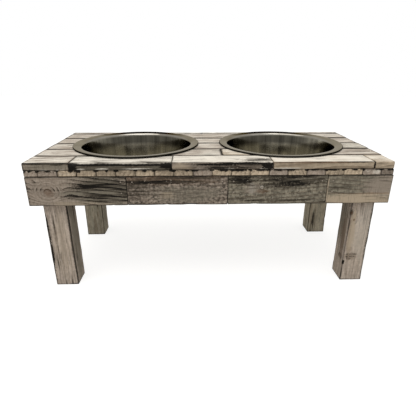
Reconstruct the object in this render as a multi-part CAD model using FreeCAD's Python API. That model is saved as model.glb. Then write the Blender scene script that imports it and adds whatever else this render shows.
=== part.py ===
"""Raised dog feeder: a table of reclaimed slats on four posts, with two steel bowls that lift out.

Millimetres. X runs along the table, its front faces -Y, and Z is up from the floor under its middle.
"""

import FreeCAD, Part
import math
import os

# Bowls: pressed sheet with a flat rim, a hemmed edge and a drafted wall
BOWL_MOUTH_RADIUS = 103.0
BOWL_LIP_RADIUS = 5.0
BOWL_RIM_WIDTH = 11.5
BOWL_RIM_HEIGHT = 3.0
BOWL_HEM_WIDTH = 3.5
BOWL_DEPTH = 78.0
BOWL_FLOOR_ROUND = 18.0
BOWL_DRAFT_DEG = 9.0
BOWL_SHEET = 1.0
BOWL_CLEARANCE = 1.5

# Table edges and the space between the bowls, measured from the rims
BOWL_SPACE = 41.0
END_MARGIN = 40.5
FRONT_MARGIN = 26.0
BACK_MARGIN = 8.0

# Table top: rows of slats along X, with a trimmed row at the front and at the back
FULL_SLAT_ROWS = 4
FRONT_SLAT_WIDTH = 47.0
BACK_SLAT_WIDTH = 17.0
SLAT_THICKNESS = 13.0
SLAT_GAP = 1.0
SLAT_EASE = 1.2

# Cross slats: laid front to back under the top, as many on each side, with a trimmed one at each end
CROSS_PER_SIDE = 10
CROSS_END_WIDTH = 21.9
CROSS_THICKNESS = 10.0
CROSS_GAP = 0.7
CROSS_EASE = 1.0

# Apron: boards set on edge under the cross slats, flush with the top all round
APRON_HEIGHT = 50.0
APRON_THICKNESS = 12.0
SIDE_APRON_THICKNESS = 16.0
APRON_EASE = 0.8

# Legs: square posts inside the apron's corners
LEG_SIZE = 40.5
LEG_REACH = 160.0
LEG_EASE = 1.6

# Rails: hidden battens between the legs, behind the apron
RAIL_THICKNESS = 10.0
RAIL_HEIGHT = 38.0

# Butt joints: the gap in each, then how far each lies from the mark that it is set out from
BUTT_GAP = 0.5
FRONT_FIRST_SLAT = 72.0
FRONT_LAST_SLAT = 35.0
FRONT_JOINT_FROM_MIDDLE = 65.0
FRONT_JOINT_FROM_BOWL = 41.0
SECOND_ROW_JOINT_FROM_MIDDLE = 20.0
BACK_ROW_JOINT_FROM_LEFT_BOWL = 42.0
BACK_ROW_JOINT_FROM_MIDDLE = 13.0
BACK_ROW_JOINT_FROM_RIGHT_BOWL = 12.0
APRON_JOINT_FROM_LEFT_BOWL = 1.0
APRON_JOINT_FROM_MIDDLE = 26.0
APRON_JOINT_FROM_RIGHT_BOWL = 51.0
SIDE_APRON_JOINT_FROM_BOWLS = 32.5

# Fasteners: brads with small flat heads, and countersunk wood screws
BRAD_RADIUS = 0.65
BRAD_HEAD_RADIUS = 1.0
BRAD_HEAD_HEIGHT = 0.8
BRAD_BITE = 7.0
BRAD_END_DISTANCE = 9.0
SCREW_RADIUS = 2.0
SCREW_HEAD_RADIUS = 4.0
SCREW_HEAD_HEIGHT = 2.6
SCREW_BITE = 34.0
SCREW_SPACING = 18.0

# Levels and faces that follow from the sizes above
RIM_RADIUS = BOWL_MOUTH_RADIUS + BOWL_LIP_RADIUS + BOWL_RIM_WIDTH
HOLE_RADIUS = BOWL_MOUTH_RADIUS + BOWL_SHEET + BOWL_CLEARANCE
BOWL_X = RIM_RADIUS + BOWL_SPACE / 2
RIGHT_END = BOWL_X + RIM_RADIUS + END_MARGIN
BACK_FACE = RIM_RADIUS + (FRONT_MARGIN + BACK_MARGIN) / 2
BOWL_Y = (FRONT_MARGIN - BACK_MARGIN) / 2
APRON_TOP = LEG_REACH + APRON_HEIGHT
CROSS_TOP = APRON_TOP + CROSS_THICKNESS
TABLE_TOP = CROSS_TOP + SLAT_THICKNESS
LEG_OUTER_X = RIGHT_END - SIDE_APRON_THICKNESS
LEG_OUTER_Y = BACK_FACE - APRON_THICKNESS
LEG_MIDDLE_X = LEG_OUTER_X - LEG_SIZE / 2
LEG_MIDDLE_Y = LEG_OUTER_Y - LEG_SIZE / 2

# Butt joints along X, and along Y on the sides. Plain rows are cut only under the bowls.
FRONT_ROW_JOINTS = (
    FRONT_FIRST_SLAT - RIGHT_END,
    -FRONT_JOINT_FROM_MIDDLE,
    BOWL_X - FRONT_JOINT_FROM_BOWL,
    RIGHT_END - FRONT_LAST_SLAT,
)
SECOND_ROW_JOINTS = (-BOWL_X, SECOND_ROW_JOINT_FROM_MIDDLE, BOWL_X)
PLAIN_ROW_JOINTS = (-BOWL_X, BOWL_X)
BACK_ROW_JOINTS = (
    -BOWL_X - BACK_ROW_JOINT_FROM_LEFT_BOWL,
    -BACK_ROW_JOINT_FROM_MIDDLE,
    BOWL_X + BACK_ROW_JOINT_FROM_RIGHT_BOWL,
)
APRON_JOINTS = (
    APRON_JOINT_FROM_LEFT_BOWL - BOWL_X,
    APRON_JOINT_FROM_MIDDLE,
    BOWL_X + APRON_JOINT_FROM_RIGHT_BOWL,
)
SIDE_APRON_JOINTS = (BOWL_Y + SIDE_APRON_JOINT_FROM_BOWLS,)


def block(x, y, z):
    """A box between the two values given for each axis."""
    corner = FreeCAD.Vector(x[0], y[0], z[0])
    return Part.makeBox(x[1] - x[0], y[1] - y[0], z[1] - z[0], corner)


def eased(shape, radius, picks):
    """The shape with the edges that picks accepts rounded over. picks is given each edge's box."""
    edges = [edge for edge in shape.Edges if picks(edge.BoundBox)]
    return shape.makeFillet(radius, edges)


def both_sides(half):
    """A piece on the left together with its mirror image on the right."""
    return [half, half.mirror(FreeCAD.Vector(0, 0, 0), FreeCAD.Vector(1, 0, 0))]


def turned_round(front):
    """The same piece at the back of the table, turned half round about the middle."""
    return front.rotated(FreeCAD.Vector(0, 0, 0), FreeCAD.Vector(0, 0, 1), 180)


def solids_of(shapes):
    """Every solid in a list of shapes, as one group."""
    return Part.makeCompound([solid for shape in shapes for solid in shape.Solids])


def split(start, end, joints):
    """The boards that fill a run from start to end, butted at the joints."""
    lows = [start] + [joint + BUTT_GAP / 2 for joint in joints]
    highs = [joint - BUTT_GAP / 2 for joint in joints] + [end]
    return list(zip(lows, highs))


# Bowls


def round_middles():
    """The middles of the rounds at the bowl's lip and at its floor, as (r, z) inside the sheet's face."""
    draft = math.radians(BOWL_DRAFT_DEG)
    lip_r = BOWL_MOUTH_RADIUS + BOWL_LIP_RADIUS
    lip_z = BOWL_RIM_HEIGHT - BOWL_LIP_RADIUS
    floor_z = BOWL_FLOOR_ROUND - BOWL_DEPTH
    rounds = BOWL_LIP_RADIUS + BOWL_FLOOR_ROUND
    wall = (lip_z - floor_z + rounds * math.sin(draft)) / math.cos(draft)
    floor_r = lip_r - rounds * math.cos(draft) - wall * math.sin(draft)
    return (lip_r, lip_z), (floor_r, floor_z)


def on_circle(middle, radius, degrees):
    """A point of the bowl's profile at an angle round an (r, z) middle."""
    turn = math.radians(degrees)
    return FreeCAD.Vector(middle[0] + radius * math.cos(turn), 0, middle[1] + radius * math.sin(turn))


def sheet_face(lip_radius, floor_radius):
    """One face of the bowl's sheet, as edges from the rim's inner edge down to the axis."""
    lip, floor = round_middles()
    lean = BOWL_DRAFT_DEG
    lip_turns = (90, 135 - lean / 2, 180 - lean)
    floor_turns = (-lean, -45 - lean / 2, -90)
    lip_top, lip_side, wall_top = [on_circle(lip, lip_radius, turn) for turn in lip_turns]
    wall_foot, floor_side, floor_edge = [on_circle(floor, floor_radius, turn) for turn in floor_turns]
    axis_point = FreeCAD.Vector(0, 0, floor[1] - floor_radius)
    return [
        Part.Arc(lip_top, lip_side, wall_top).toShape(),
        Part.LineSegment(wall_top, wall_foot).toShape(),
        Part.Arc(wall_foot, floor_side, floor_edge).toShape(),
        Part.LineSegment(floor_edge, axis_point).toShape(),
    ]


def rim_edges():
    """The rim's flat and its hem, which rests on the table, as edges between the sheet's two faces."""
    edge_round = BOWL_RIM_HEIGHT / 2
    flat_start = BOWL_MOUTH_RADIUS + BOWL_LIP_RADIUS
    hem = RIM_RADIUS - BOWL_HEM_WIDTH
    under = BOWL_RIM_HEIGHT - BOWL_SHEET
    corners = [
        (flat_start, BOWL_RIM_HEIGHT),
        (RIM_RADIUS - edge_round, BOWL_RIM_HEIGHT),
        (RIM_RADIUS, edge_round),
        (RIM_RADIUS - edge_round, 0),
        (hem, 0),
        (hem, under),
        (flat_start, under),
    ]
    points = [FreeCAD.Vector(r, 0, z) for r, z in corners]
    flat = Part.LineSegment(points[0], points[1]).toShape()
    edge = Part.Arc(points[1], points[2], points[3]).toShape()
    under_side = [Part.LineSegment(*points[place:place + 2]).toShape() for place in (3, 4, 5)]
    return [flat, edge] + under_side


def bowl_at(x):
    """A bowl whose rim rests on the table at x."""
    inside = sheet_face(BOWL_LIP_RADIUS, BOWL_FLOOR_ROUND)
    outside = sheet_face(BOWL_LIP_RADIUS - BOWL_SHEET, BOWL_FLOOR_ROUND + BOWL_SHEET)
    floor = FreeCAD.Vector(0, 0, -BOWL_DEPTH)
    floor_under = FreeCAD.Vector(0, 0, -BOWL_DEPTH - BOWL_SHEET)
    middle = [Part.LineSegment(floor_under, floor).toShape()]
    profile = Part.Wire(Part.__sortEdges__(rim_edges() + outside + middle + inside))
    bowl = Part.Face(profile).revolve(FreeCAD.Vector(0, 0, 0), FreeCAD.Vector(0, 0, 1), 360)
    bowl.translate(FreeCAD.Vector(x, BOWL_Y, TABLE_TOP))
    return bowl


def bowl_holes():
    """The two round holes that the bowls drop into, as cutters through the top and the cross slats."""
    foot = FreeCAD.Vector(-BOWL_X, BOWL_Y, APRON_TOP - CROSS_THICKNESS)
    reach = TABLE_TOP - APRON_TOP + 2 * CROSS_THICKNESS
    return Part.makeCompound(both_sides(Part.makeCylinder(HOLE_RADIUS, reach, foot)))


def wood_left(run, y):
    """The part of a board's run that the holes leave along the line at y."""
    low, high = run
    half_chord = math.sqrt(max(HOLE_RADIUS**2 - (y - BOWL_Y) ** 2, 0.0))
    for bowl_x in (-BOWL_X, BOWL_X):
        if abs(low - bowl_x) < half_chord:
            low = bowl_x + half_chord
        if abs(high - bowl_x) < half_chord:
            high = bowl_x - half_chord
    return low, high


def brad_places(run):
    """Where brads go along a board's run: near both ends, or in the middle of a short offcut."""
    low, high = run
    if high - low < 3 * BRAD_END_DISTANCE:
        return [(low + high) / 2]
    return [low + BRAD_END_DISTANCE, high - BRAD_END_DISTANCE]


# Table top


def row_bands():
    """The front and back edge of each row. The full rows share the depth that the trimmed ones leave."""
    gaps = (FULL_SLAT_ROWS + 1) * SLAT_GAP
    full = (2 * BACK_FACE - FRONT_SLAT_WIDTH - BACK_SLAT_WIDTH - gaps) / FULL_SLAT_ROWS
    bands = []
    front = -BACK_FACE
    for width in [FRONT_SLAT_WIDTH] + [full] * FULL_SLAT_ROWS + [BACK_SLAT_WIDTH]:
        bands.append((front, front + width))
        front += width + SLAT_GAP
    return bands


def row_runs(row):
    """The slats of a row, as spans along X."""
    special = {0: FRONT_ROW_JOINTS, 1: SECOND_ROW_JOINTS, FULL_SLAT_ROWS + 1: BACK_ROW_JOINTS}
    return split(-RIGHT_END, RIGHT_END, special.get(row, PLAIN_ROW_JOINTS))


def top_slats(holes):
    """Every slat of the top by name: a row's number from the front, then a letter from the left."""
    slats = {}
    for row, band in enumerate(row_bands()):
        for place, run in enumerate(row_runs(row)):
            slat = block(run, band, (CROSS_TOP, TABLE_TOP))
            ease = min(SLAT_EASE, (band[1] - band[0]) / 3)
            slat = eased(slat, ease, lambda box: box.ZMin > TABLE_TOP - SLAT_EASE)
            slats[f"top_slat_{row + 1}{'abcdefgh'[place]}"] = slat.cut(holes)
    return slats


def cross_bands():
    """The cross slats left of the middle, from the end inwards. All but the trimmed one share the length."""
    full_count = CROSS_PER_SIDE - 1
    width = (RIGHT_END - CROSS_END_WIDTH - (full_count + 0.5) * CROSS_GAP) / full_count
    bands = [(-RIGHT_END, CROSS_END_WIDTH - RIGHT_END)]
    for _ in range(full_count):
        start = bands[-1][1] + CROSS_GAP
        bands.append((start, start + width))
    return bands


def cross_slat_pairs(holes):
    """The cross slats as mirrored pairs, numbered from the ends towards the middle."""
    pairs = {}
    for number, band in enumerate(cross_bands()):
        slat = block(band, (-BACK_FACE, BACK_FACE), (APRON_TOP, CROSS_TOP))
        ease = min(CROSS_EASE, (band[1] - band[0]) / 3)
        slat = eased(slat, ease, lambda box: box.YLength > BACK_FACE)
        pairs[f"cross_slat_pair_{number + 1:02d}"] = solids_of(both_sides(slat.cut(holes)))
    return pairs


# Base


def apron_boards():
    """The boards round the table's edge. Long boards cover the ends of the side boards."""
    boards = {}
    level = (LEG_REACH, APRON_TOP)
    long_runs = split(-RIGHT_END, RIGHT_END, APRON_JOINTS)
    for number, run in enumerate(long_runs):
        front = block(run, (-BACK_FACE, -LEG_OUTER_Y), level)
        front = eased(front, APRON_EASE, lambda box: box.YMax < -LEG_OUTER_Y - APRON_EASE)
        boards[f"front_apron_board_{number + 1}"] = front
        boards[f"back_apron_board_{number + 1}"] = turned_round(front)
    side_runs = split(-LEG_OUTER_Y, LEG_OUTER_Y, SIDE_APRON_JOINTS)
    for number, run in enumerate(side_runs):
        left = block((-RIGHT_END, -LEG_OUTER_X), run, level)
        left = eased(left, APRON_EASE, lambda box: box.XMax < -LEG_OUTER_X - APRON_EASE)
        boards[f"left_apron_board_{number + 1}"] = left
        boards[f"right_apron_board_{number + 1}"] = both_sides(left)[1]
    return boards


def legs():
    """The four posts, from the floor to the cross slats."""
    posts = {}
    for side, x in (("left", -LEG_MIDDLE_X), ("right", LEG_MIDDLE_X)):
        for end, y in (("front", -LEG_MIDDLE_Y), ("back", LEG_MIDDLE_Y)):
            half = LEG_SIZE / 2
            post = block((x - half, x + half), (y - half, y + half), (0.0, APRON_TOP))
            posts[f"{end}_{side}_leg"] = eased(post, LEG_EASE, lambda box: box.ZLength > LEG_REACH)
    return posts


def rails():
    """The battens that join the legs behind the apron and carry the cross slats' cut ends."""
    level = (APRON_TOP - RAIL_HEIGHT, APRON_TOP)
    leg_inner_x = LEG_OUTER_X - LEG_SIZE
    leg_inner_y = LEG_OUTER_Y - LEG_SIZE
    front = block((-leg_inner_x, leg_inner_x), (-LEG_OUTER_Y, RAIL_THICKNESS - LEG_OUTER_Y), level)
    left = block((-LEG_OUTER_X, RAIL_THICKNESS - LEG_OUTER_X), (-leg_inner_y, leg_inner_y), level)
    return {
        "front_rail": front,
        "back_rail": turned_round(front),
        "left_rail": left,
        "right_rail": both_sides(left)[1],
    }


# Fasteners


def brad(place, inward, length):
    """A brad with its head flush at place, driven along inward."""
    shank = Part.makeCylinder(BRAD_RADIUS, length, place, inward)
    head = Part.makeCylinder(BRAD_HEAD_RADIUS, BRAD_HEAD_HEIGHT, place, inward)
    return shank.fuse(head).removeSplitter()


def top_brads():
    """Brads through both ends of each top slat, into the cross slats."""
    down = FreeCAD.Vector(0, 0, -1)
    nails = []
    for row, band in enumerate(row_bands()):
        y = (band[0] + band[1]) / 2
        for run in row_runs(row):
            for x in brad_places(wood_left(run, y)):
                nails.append(brad(FreeCAD.Vector(x, y, TABLE_TOP), down, SLAT_THICKNESS + BRAD_BITE))
    return solids_of(nails)


def cross_brads():
    """Brads through both ends of each cross slat, apart from the ones that are screwed to the legs."""
    down = FreeCAD.Vector(0, 0, -1)
    nails = []
    for band in cross_bands():
        x = (band[0] + band[1]) / 2
        if band == screwed_band():
            continue
        for y in (RAIL_THICKNESS / 2 - LEG_OUTER_Y, LEG_OUTER_Y - RAIL_THICKNESS / 2):
            nail = brad(FreeCAD.Vector(x, y, CROSS_TOP), down, CROSS_THICKNESS + BRAD_BITE)
            nails.extend(both_sides(nail))
    return solids_of(nails)


def apron_brads():
    """Two brads near each end of every apron board, into the rails or the legs."""
    rail_bottom = APRON_TOP - RAIL_HEIGHT
    levels = (rail_bottom + RAIL_HEIGHT / 4, APRON_TOP - RAIL_HEIGHT / 4)
    nails = []
    for run in split(-RIGHT_END, RIGHT_END, APRON_JOINTS):
        backed = (max(run[0], -LEG_OUTER_X), min(run[1], LEG_OUTER_X))
        for x in brad_places(backed):
            for z in levels:
                place = FreeCAD.Vector(x, -BACK_FACE, z)
                nail = brad(place, FreeCAD.Vector(0, 1, 0), APRON_THICKNESS + BRAD_BITE)
                nails += [nail, turned_round(nail)]
    for run in split(-LEG_OUTER_Y, LEG_OUTER_Y, SIDE_APRON_JOINTS):
        for y in brad_places(run):
            for z in levels:
                place = FreeCAD.Vector(-RIGHT_END, y, z)
                nail = brad(place, FreeCAD.Vector(1, 0, 0), SIDE_APRON_THICKNESS + BRAD_BITE)
                nails += both_sides(nail)
    return solids_of(nails)


def screwed_band():
    """The cross slat that lies most squarely over the left legs."""
    return min(cross_bands(), key=lambda band: abs(band[0] + band[1] + 2 * LEG_MIDDLE_X))


def leg_screws():
    """Two countersunk screws through the cross slats into the end of each leg."""
    screws = []
    band = screwed_band()
    for end in (-1, 1):
        for shift in (-SCREW_SPACING / 2, SCREW_SPACING / 2):
            top = FreeCAD.Vector((band[0] + band[1]) / 2, end * LEG_MIDDLE_Y + shift, CROSS_TOP)
            down = FreeCAD.Vector(0, 0, -1)
            shank = Part.makeCylinder(SCREW_RADIUS, CROSS_THICKNESS + SCREW_BITE, top, down)
            head = Part.makeCone(SCREW_HEAD_RADIUS, SCREW_RADIUS, SCREW_HEAD_HEIGHT, top, down)
            screws += both_sides(shank.fuse(head).removeSplitter())
    return solids_of(screws)


def main():
    """Writes one file for each named piece."""
    holes = bowl_holes()
    pieces = {"left_bowl": bowl_at(-BOWL_X), "right_bowl": bowl_at(BOWL_X)}
    pieces.update(top_slats(holes))
    pieces.update(cross_slat_pairs(holes))
    pieces.update(apron_boards())
    pieces.update(legs())
    pieces.update(rails())
    pieces["top_brads"] = top_brads()
    pieces["cross_brads"] = cross_brads()
    pieces["apron_brads"] = apron_brads()
    pieces["leg_screws"] = leg_screws()
    os.makedirs("parts", exist_ok=True)
    for name, shape in pieces.items():
        shape.exportStep(f"parts/{name}.step")
        print(f"{name}: {len(shape.Solids)} solids, {shape.Volume / 1000:.1f} cm3, valid {shape.isValid()}")


main()
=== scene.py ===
"""Elevated dog feeder: worn whitewashed boards and polished steel bowls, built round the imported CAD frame.

Lengths are in millimetres where a name or comment says so. Meshes are in metres, in the CAD's own frame:
X runs along the table, its front faces -Y, and Z is up from the floor.
"""

import math
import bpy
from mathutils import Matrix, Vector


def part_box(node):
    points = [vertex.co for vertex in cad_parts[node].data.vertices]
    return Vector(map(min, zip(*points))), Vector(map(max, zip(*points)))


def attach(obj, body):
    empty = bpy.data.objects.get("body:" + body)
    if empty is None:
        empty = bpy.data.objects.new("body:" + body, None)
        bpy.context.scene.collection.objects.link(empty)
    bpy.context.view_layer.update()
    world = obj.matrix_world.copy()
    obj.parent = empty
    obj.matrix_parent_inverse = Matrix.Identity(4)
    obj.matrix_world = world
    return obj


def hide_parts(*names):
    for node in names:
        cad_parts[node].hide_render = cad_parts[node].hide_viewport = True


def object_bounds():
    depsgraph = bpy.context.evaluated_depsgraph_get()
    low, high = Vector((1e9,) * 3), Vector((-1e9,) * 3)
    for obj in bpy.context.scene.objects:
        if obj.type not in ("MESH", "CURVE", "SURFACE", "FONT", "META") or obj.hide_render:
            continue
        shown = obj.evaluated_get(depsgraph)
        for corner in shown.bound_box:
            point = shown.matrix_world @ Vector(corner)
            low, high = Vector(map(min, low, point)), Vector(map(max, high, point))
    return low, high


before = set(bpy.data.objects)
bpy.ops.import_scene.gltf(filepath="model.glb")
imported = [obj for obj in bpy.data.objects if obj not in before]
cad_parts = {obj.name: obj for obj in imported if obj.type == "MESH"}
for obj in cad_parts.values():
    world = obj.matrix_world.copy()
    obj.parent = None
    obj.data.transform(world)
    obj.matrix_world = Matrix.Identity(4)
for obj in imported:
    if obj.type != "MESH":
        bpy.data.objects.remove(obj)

import zlib

import bpy
import numpy as np
from bpy.props import FloatProperty, FloatVectorProperty, IntProperty, PointerProperty
from bpy.types import Operator, Panel, PropertyGroup
from mathutils import Matrix, Vector

bl_info = {
    "name": "Elevated Dog Feeder",
    "version": (1, 0, 0),
    "blender": (4, 5, 0),
    "location": "3D View > Sidebar > Feeder",
    "description": "Worn boards, steel bowls and a plain studio for a raised dog feeder",
    "category": "Object",
}

CAD_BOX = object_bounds()
MM = 0.001
# The front of the table, in mm
FRONT = CAD_BOX[0][1] / MM

# The corners of a board's section, in the order that section_rings goes round them, by the grain's axis
CORNERS = {
    0: ("back_top", "front_top", "front_bottom", "back_bottom"),
    1: ("right_top", "right_bottom", "left_bottom", "left_top"),
    2: ("right_back", "left_back", "left_front", "right_front"),
}
# Steps round each of those corners
ARC_STEPS = 4
# The wear of a plain board in mm, which each kind of board adds to. stretch is how many steps apart points
# lie along the grain, chips is how many there are in 100 mm of an edge, and clean_ends keeps dirt off the
# ends.
PLAIN_WEAR = {
    "stretch": 1.5, "end_round": 1.1, "end_relief": 0.5, "uneven": 0.3, "chips": 1.5, "dirt_reach": 2.2,
    "clean_ends": 1.0, "sunk": 0.0, "trim": 0.0, "wane": (),
}
# The least radius of a worn edge in mm, and the most as a share of the board's thinner side
LEAST_ROUND = 0.25
MOST_ROUND = 0.45
# Half the length of a chip in an edge and its depth in mm, least and most
CHIP_HALF = (2.5, 9)
CHIP_DEPTH = (0.5, 2.2)
# Lengths in mm along an edge over which its radius swells, a waney run fades out, and that run swells
EDGE_SWELL = 17
WANE_FADE = 7
WANE_SWELL = 12
# Layers of relief: whose depth each has, and its size in mm along the grain and round the board
RELIEF = (("relief", 60, 2.6), ("relief", 22, 8), ("uneven", 110, 30))
# Rings of points at a board's end: shares of its rounding, then shares of the width of its end grain
END_ROUND_RINGS = (0.0, 0.15, 0.45)
END_GRAIN_RINGS = (0.86, 0.6, 0.3)
# The size of the end grain's relief in mm, and how far its pattern starts from the corner of the noise
END_GRAIN = 4
END_GRAIN_START = 50
# Lattice steps after which smooth_noise repeats
NOISE_TILE = 64
# In mm: a hole that reaches a board by less than the first doesn't cut it, a corner nearer to its edge than
# the second was made by it, and such an end runs on by the third, to be cut again
HOLE_TOUCH = 0.01
HOLE_CORNER = 0.7
HOLE_OVERRUN = 20
# Faces that meet at more than this have a sharp edge between them
BOARD_CREASE = math.radians(50)
BOWL_CREASE = math.radians(40)
# Points along the bends of the bowl's section
FLOOR_STEPS = 14
LIP_STEPS = 12
FOLD_STEPS = 5
# Points of the bowl's section nearer to its axis than this are on it, in mm
AXIS_RADIUS = 0.01
# The width in mm that the lens's focal length goes with
SENSOR_WIDTH = 36.0

VECTOR = "ShaderNodeVectorMath"
MATH = "ShaderNodeMath"
MIX = "ShaderNodeMix"
# Sockets 1 and 2 are the ends of the range, and 3 and 4 what they become, 0 and 1 where that isn't given
RANGE = "ShaderNodeMapRange"
NOISE = "ShaderNodeTexNoise"
SMOOTH = {"interpolation_type": "SMOOTHSTEP"}
COLOUR = {"subtype": "COLOR", "min": 0, "max": 1}
WHITE = (1, 1, 1, 1)


def linear(hex_colour):
    """An sRGB hex colour as the linear numbers that Blender's sockets take."""
    parts = [int(hex_colour[i : i + 2], 16) / 255 for i in (1, 3, 5)]
    return [p / 12.92 if p <= 0.04045 else ((p + 0.055) / 1.055) ** 2.4 for p in parts]


def rgba(colour):
    """A colour property as a socket's four numbers."""
    return (*colour, 1.0)


class FeederWood(PropertyGroup):
    """Colours and wear of the boards."""

    # On the boards this wash is laid heavier on faces that look up: partly real whitewash, partly painted
    # light from above
    wash: FloatVectorProperty(
        name="Whitewash",
        description="Thin white paint that is left on the upper faces",
        default=linear("#efe7d8"),
        **COLOUR,
    )
    taupe: FloatVectorProperty(
        name="Taupe board",
        description="Weathered wood with a pinkish cast",
        default=linear("#a99b8c"),
        **COLOUR,
    )
    leg: FloatVectorProperty(
        name="Leg",
        description="Paler wood of the legs, with a pinkish cast",
        default=linear("#b9ab9d"),
        **COLOUR,
    )
    grey: FloatVectorProperty(
        name="Grey board",
        description="Weathered wood that has gone grey-green",
        default=linear("#8b8474"),
        **COLOUR,
    )
    tan: FloatVectorProperty(
        name="Tan board",
        description="Wood that has kept some of its warm colour",
        default=linear("#c6b49b"),
        **COLOUR,
    )
    brown: FloatVectorProperty(
        name="Brown stain",
        description="Knots, resin and rust stains",
        default=linear("#6e533d"),
        **COLOUR,
    )
    stain: FloatVectorProperty(
        name="Dark stain",
        description="Softer dark grain round the black lines",
        default=linear("#51493e"),
        **COLOUR,
    )
    # Also the colour of the painted shade in the gap under the top slats, on the cross slats' ends
    charcoal: FloatVectorProperty(
        name="Charcoal",
        description="Black lines of old grain, and dirt in the edges",
        default=linear("#110f0c"),
        **COLOUR,
    )
    edge_round: FloatProperty(
        name="Edge round",
        description="Usual radius of a worn edge",
        default=1.3 * MM,
        min=0.2 * MM,
        max=4 * MM,
        unit="LENGTH",
    )
    relief: FloatProperty(
        name="Grain relief",
        description="Depth to which soft grain has weathered away",
        default=0.25 * MM,
        min=0,
        max=1 * MM,
        unit="LENGTH",
    )
    mesh_step: FloatProperty(
        name="Mesh step",
        description="Distance between points across a board's faces",
        default=2.2 * MM,
        min=1 * MM,
        max=8 * MM,
        unit="LENGTH",
    )


class FeederBowl(PropertyGroup):
    """Sizes and finish of the pressed bowls. The rim's radius and place come from the frame."""

    rim_width: FloatProperty(
        name="Rim width", description="Flat part of the rim", default=11.5 * MM, unit="LENGTH"
    )
    rim_height: FloatProperty(
        name="Rim height", description="Top of the rim above the table", default=2.9 * MM, unit="LENGTH"
    )
    rim_fall: FloatProperty(
        name="Rim fall",
        description="How far the flat falls from its outer edge to the lip",
        default=1.0 * MM,
        unit="LENGTH",
    )
    lip_radius: FloatProperty(
        name="Lip radius", description="Round from the rim into the bowl", default=5 * MM, unit="LENGTH"
    )
    floor_round: FloatProperty(
        name="Floor round", description="Round from the wall to the floor", default=18 * MM, unit="LENGTH"
    )
    hem_width: FloatProperty(
        name="Hem width", description="Edge that is folded under the rim", default=3.5 * MM, unit="LENGTH"
    )
    sheet: FloatProperty(
        name="Sheet", description="Thickness of the sheet steel", default=1 * MM, unit="LENGTH"
    )
    draft: FloatProperty(
        name="Draft",
        description="Lean of the wall",
        default=math.radians(9),
        subtype="ANGLE",
        unit="ROTATION",
    )
    hole_inside_rim: FloatProperty(
        name="Hole inside rim",
        description="How far the table's hole lies inside the rim's edge",
        default=14 * MM,
        unit="LENGTH",
    )
    segments: IntProperty(
        name="Segments", description="Steps round the bowl", default=144, min=24, max=512
    )
    # Both steel colours are darker than bare polished steel: painted reflection, standing for the dark room
    # that the bowls mirror
    steel: FloatVectorProperty(
        name="Steel",
        description="Colour that the polished steel reflects",
        default=linear("#8a857b"),
        **COLOUR,
    )
    # The inside's darker colour is painted shade and dark reflection on the wall and floor, not a darker
    # steel
    inside: FloatVectorProperty(
        name="Steel inside",
        description="Darker steel of the drawn wall and floor",
        default=linear("#535047"),
        **COLOUR,
    )


class FeederStage(PropertyGroup):
    """Camera, lamp and floor."""

    camera_place: FloatVectorProperty(
        name="Camera place",
        description="Where the camera stands",
        subtype="XYZ",
        unit="LENGTH",
        default=(-28.0 * MM, -687.7 * MM, 376.7 * MM),
    )
    camera_turn: FloatVectorProperty(
        name="Camera turn",
        description="Yaw to the right, pitch down and roll",
        subtype="EULER",
        unit="ROTATION",
        default=(math.radians(2.22), math.radians(21.963), math.radians(0.257)),
    )
    lens: FloatProperty(
        name="Lens", description="Focal length in millimetres", default=30.72, min=10, max=200
    )
    lamp_power: FloatProperty(
        name="Lamp power", description="Watts of the soft box overhead", default=18.0, min=0
    )
    lamp_size: FloatProperty(
        name="Lamp size", description="Side of the soft box", default=1.6, min=0.1, unit="LENGTH"
    )
    lamp_place: FloatVectorProperty(
        name="Lamp place",
        description="Where the soft box hangs",
        subtype="XYZ",
        unit="LENGTH",
        default=(-0.25, -0.55, 1.75),
    )
    lamp_aim: FloatVectorProperty(
        name="Lamp aim",
        description="The point that the soft box faces",
        subtype="XYZ",
        unit="LENGTH",
        default=(0, 0, 0.2),
    )
    fill: FloatProperty(
        name="Fill light", description="Strength of the light from all round", default=0.6, min=0
    )
    floor_size: FloatProperty(
        name="Floor size", description="Side of the floor", default=8.0, min=1, unit="LENGTH"
    )
    floor: FloatVectorProperty(
        name="Floor", description="Colour of the pale floor", default=linear("#a8a6a2"), **COLOUR
    )
    floor_glow: FloatProperty(
        name="Floor glow", description="Light that the floor adds where it is seen", default=0.8, min=0
    )


def add(tree, kind, inputs=None, **settings):
    """Adds a node with its settings. inputs gives its sockets values, nodes or outputs, by name or number."""
    node = tree.nodes.new(kind)
    for name, value in settings.items():
        setattr(node, name, value)
    for key, value in (inputs or {}).items():
        shown = [s for s in node.inputs if s.enabled]
        socket = node.inputs[key] if isinstance(key, int) else next(s for s in shown if s.name == key)
        if isinstance(value, bpy.types.Node):
            value = next(s for s in value.outputs if s.enabled)
        if isinstance(value, bpy.types.NodeSocket):
            tree.links.new(value, socket)
        else:
            socket.default_value = value
    return node


def new_material(name):
    """An empty node material, with its tree."""
    material = bpy.data.materials.new(name)
    material.use_nodes = True
    material.node_tree.nodes.clear()
    return material, material.node_tree


def new_object(name, points, faces):
    """An object in the scene, with a new mesh of the same name."""
    mesh = bpy.data.meshes.new(name)
    mesh.from_pydata(points, [], faces)
    made = bpy.data.objects.new(name, mesh)
    bpy.context.scene.collection.objects.link(made)
    return made


def dress(piece, crease, material):
    """Shades a piece smoothly up to its sharp edges, and gives it its material alone."""
    mesh = piece.data
    mesh.polygons.foreach_set("use_smooth", [True] * len(mesh.polygons))
    mesh.set_sharp_from_angle(angle=crease)
    mesh.materials.clear()
    mesh.materials.append(material)


def seed_of(name):
    """The same number for the same name on every run."""
    return zlib.crc32(name.encode())


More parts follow.
